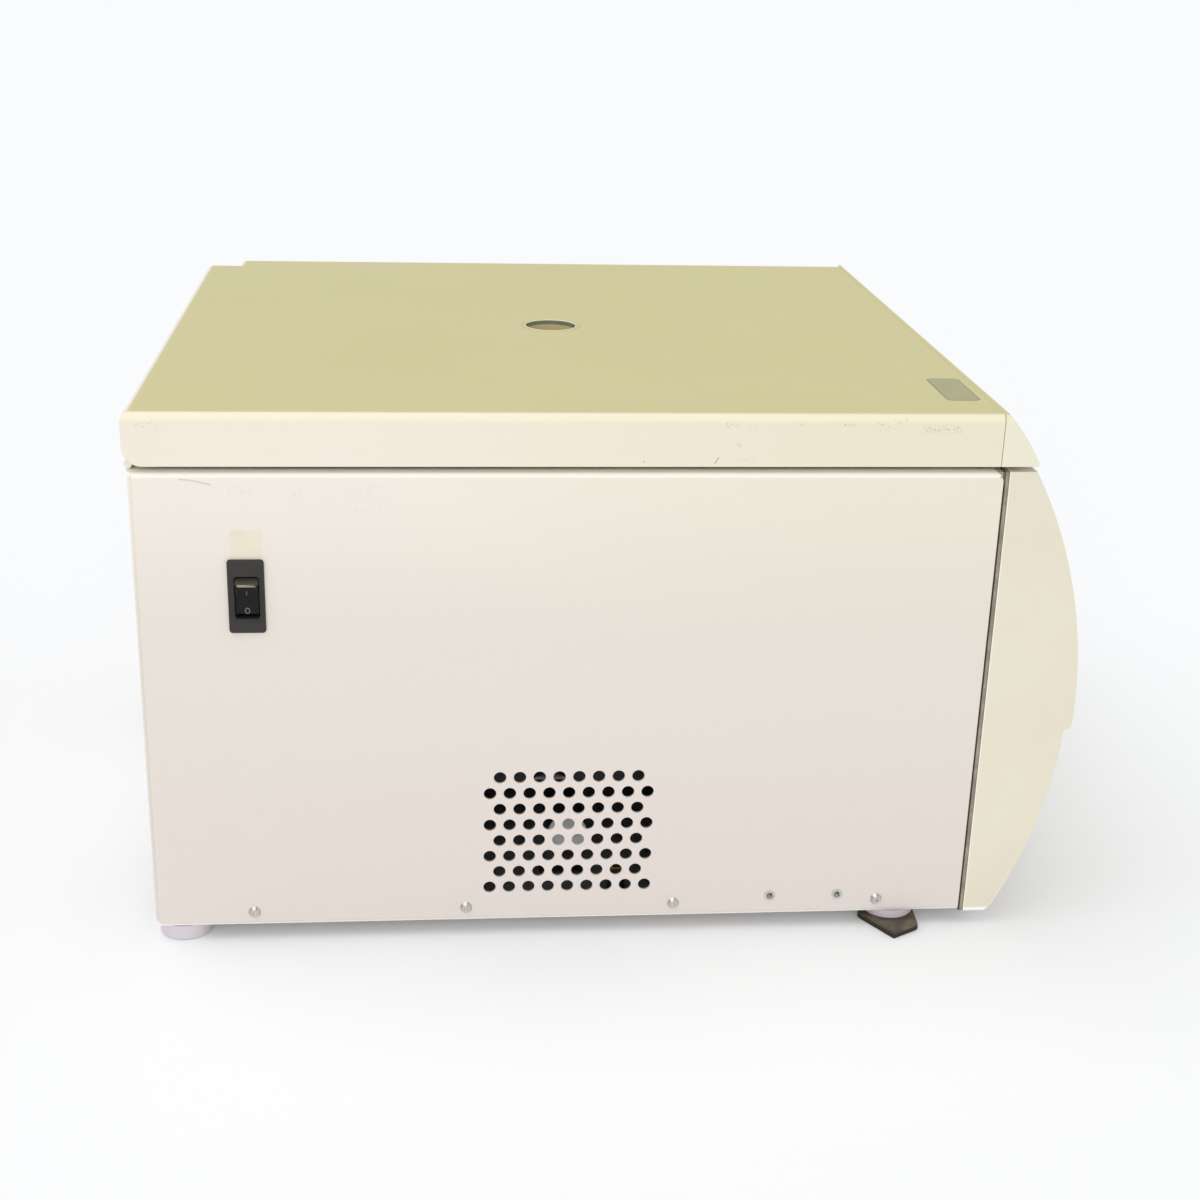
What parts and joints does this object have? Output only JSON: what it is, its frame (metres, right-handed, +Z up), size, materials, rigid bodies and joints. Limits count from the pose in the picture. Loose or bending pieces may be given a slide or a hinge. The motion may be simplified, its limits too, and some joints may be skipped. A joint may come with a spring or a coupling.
{
  "type": "microplate centrifuge",
  "caption": "Bench microplate centrifuge: cream sheet-metal box with a rear-hinged lid and viewing port, a bowed front, and a swing-out rotor for microplates.",
  "frame": {"origin": "on the bench, under the middle of the whole instrument", "axes": "+X to the right seen from the front, -Y towards the front cover and its controls, +Z up"},
  "size_m": [0.5028, 0.5788, 0.3398],
  "materials": {
    "body_paint": "fine-textured cream powder coat",
    "lid_paint": "fine-textured cream powder coat, a little yellowed",
    "cover_plastic": "satin cream moulding",
    "trim_plastic": "satin cream moulding",
    "liner_plastic": "light grey moulding",
    "strip_rubber": "grey-brown foam rubber",
    "black_rubber": "black rubber",
    "bowl_steel": "brushed stainless steel",
    "zinc_steel": "zinc-plated sheet steel",
    "fastener_steel": "bright steel",
    "aluminium": "plain aluminium",
    "rotor_metal": "anodised aluminium",
    "carrier_metal": "satin anodised aluminium",
    "motor_paint": "light grey paint",
    "circuit_board": "green circuit board",
    "black_plastic": "black moulding",
    "bezel_plastic": "dark grey moulding",
    "rocker_plastic": "black satin moulding",
    "panel_plastic": "blue-grey panel",
    "window_clear": "clear plastic",
    "display_glass": "dark display",
    "key_grey": "light grey key",
    "key_blue": "blue key",
    "knob_plastic": "dark grey knob",
    "foot_plastic": "off-white plastic",
    "pad_brown": "dark brown pad",
    "port_plastic": "grey moulding"
  },
  "bodies": {
    "housing": {"base_tray": "zinc_steel", "front_bulkhead": "zinc_steel", "side_panel_left": "body_paint", "side_panel_right": "body_paint", "rear_panel": "body_paint", "deck_plate": "body_paint", "front_cover": "cover_plastic", "edge_seals": "strip_rubber", "bowl": "bowl_steel", "bowl_gasket": "black_rubber", "guard_ring": "zinc_steel", "guard_posts": "zinc_steel", "motor_mounts": "black_rubber", "motor_bridge": "aluminium", "motor": "motor_paint", "motor_bearings": "fastener_steel", "shaft_boot": "black_rubber", "control_board": "circuit_board", "power_unit": "aluminium", "mains_inlet": "black_plastic", "fan_frame": "black_plastic", "fan_guard": "fastener_steel", "switch_bezel": "bezel_plastic", "switch_body": "black_plastic", "control_panel": "panel_plastic", "display_window": "window_clear", "panel_board": "circuit_board", "display_module": "display_glass", "latch_brackets": "zinc_steel", "latch_motor": "motor_paint", "hinge_brackets": "zinc_steel", "hinge_pins": "fastener_steel", "rear_feet": "foot_plastic", "front_feet": "foot_plastic", "foot_pads": "pad_brown", "side_screws": "fastener_steel", "thread_inserts": "fastener_steel"},
    "lid": {"lid_shell": "lid_paint", "lid_front_trim": "trim_plastic", "lid_liner": "liner_plastic", "lid_bumpers": "black_rubber", "port_ring": "port_plastic", "port_window": "window_clear", "strikers": "fastener_steel", "hinge_arms": "zinc_steel"},
    "rotor": {"drive_shaft": "fastener_steel", "rotor_yoke": "rotor_metal", "rotor_nut": "fastener_steel", "trunnion_pins": "fastener_steel"},
    "carrier_left": {"plate_carrier_left": "carrier_metal"},
    "carrier_right": {"plate_carrier_right": "carrier_metal"},
    "switch_rocker": {"rocker": "rocker_plastic"},
    "open_button": {"open_key": "key_blue"},
    "start_button": {"start_key": "key_grey"},
    "stop_button": {"stop_key": "key_grey"},
    "speed_dial": {"speed_knob": "knob_plastic"},
    "time_dial": {"time_knob": "knob_plastic"},
    "latch": {"latch_shaft": "fastener_steel", "latch_hooks": "zinc_steel"},
    "fan": {"fan_impeller": "black_plastic"}
  },
  "joints": [
    {"name": "lid_hinge", "type": "hinge", "parent": "housing", "child": "lid", "pos_m": [0, 0.28339, 0.313], "axis": [-1, 0, 0], "range_deg": [0, 75]},
    {"name": "rotor_spin", "type": "hinge", "parent": "housing", "child": "rotor", "pos_m": [0, 0.03389, 0.246], "axis": [0, 0, 1], "continuous": true},
    {"name": "carrier_left_swing", "type": "hinge", "parent": "rotor", "child": "carrier_left", "pos_m": [-0.08, 0.03389, 0.246], "axis": [0, 1, 0], "range_deg": [0, 90]},
    {"name": "carrier_right_swing", "type": "hinge", "parent": "rotor", "child": "carrier_right", "pos_m": [0.08, 0.03389, 0.246], "axis": [0, -1, 0], "range_deg": [0, 90]},
    {"name": "rocker_tilt", "type": "hinge", "parent": "housing", "child": "switch_rocker", "pos_m": [-0.232, 0.22289, 0.229], "axis": [0, 1, 0], "range_deg": [0, 16]},
    {"name": "latch_turn", "type": "hinge", "parent": "housing", "child": "latch", "pos_m": [0, -0.17561, 0.2655], "axis": [-1, 0, 0], "range_deg": [0, 40]},
    {"name": "fan_spin", "type": "hinge", "parent": "housing", "child": "fan", "pos_m": [0.11, 0.27239, 0.1], "axis": [0, 1, 0], "continuous": true},
    {"name": "speed_knob_turn", "type": "hinge", "parent": "housing", "child": "speed_dial", "pos_m": [-0.108, -0.26975, 0.23168], "axis": [0, -0.9659, 0.2588], "continuous": true},
    {"name": "time_knob_turn", "type": "hinge", "parent": "housing", "child": "time_dial", "pos_m": [0.108, -0.26975, 0.23168], "axis": [0, -0.9659, 0.2588], "continuous": true},
    {"name": "open_key_press", "type": "slide", "parent": "housing", "child": "open_button", "axis": [0, 0.9877, -0.1564], "range_m": [0, 0.0012], "stiffness_N_per_m": 900},
    {"name": "start_key_press", "type": "slide", "parent": "housing", "child": "start_button", "axis": [0, 0.9877, -0.1564], "range_m": [0, 0.0012], "stiffness_N_per_m": 900},
    {"name": "stop_key_press", "type": "slide", "parent": "housing", "child": "stop_button", "axis": [0, 0.9877, -0.1564], "range_m": [0, 0.0012], "stiffness_N_per_m": 900}
  ]
}
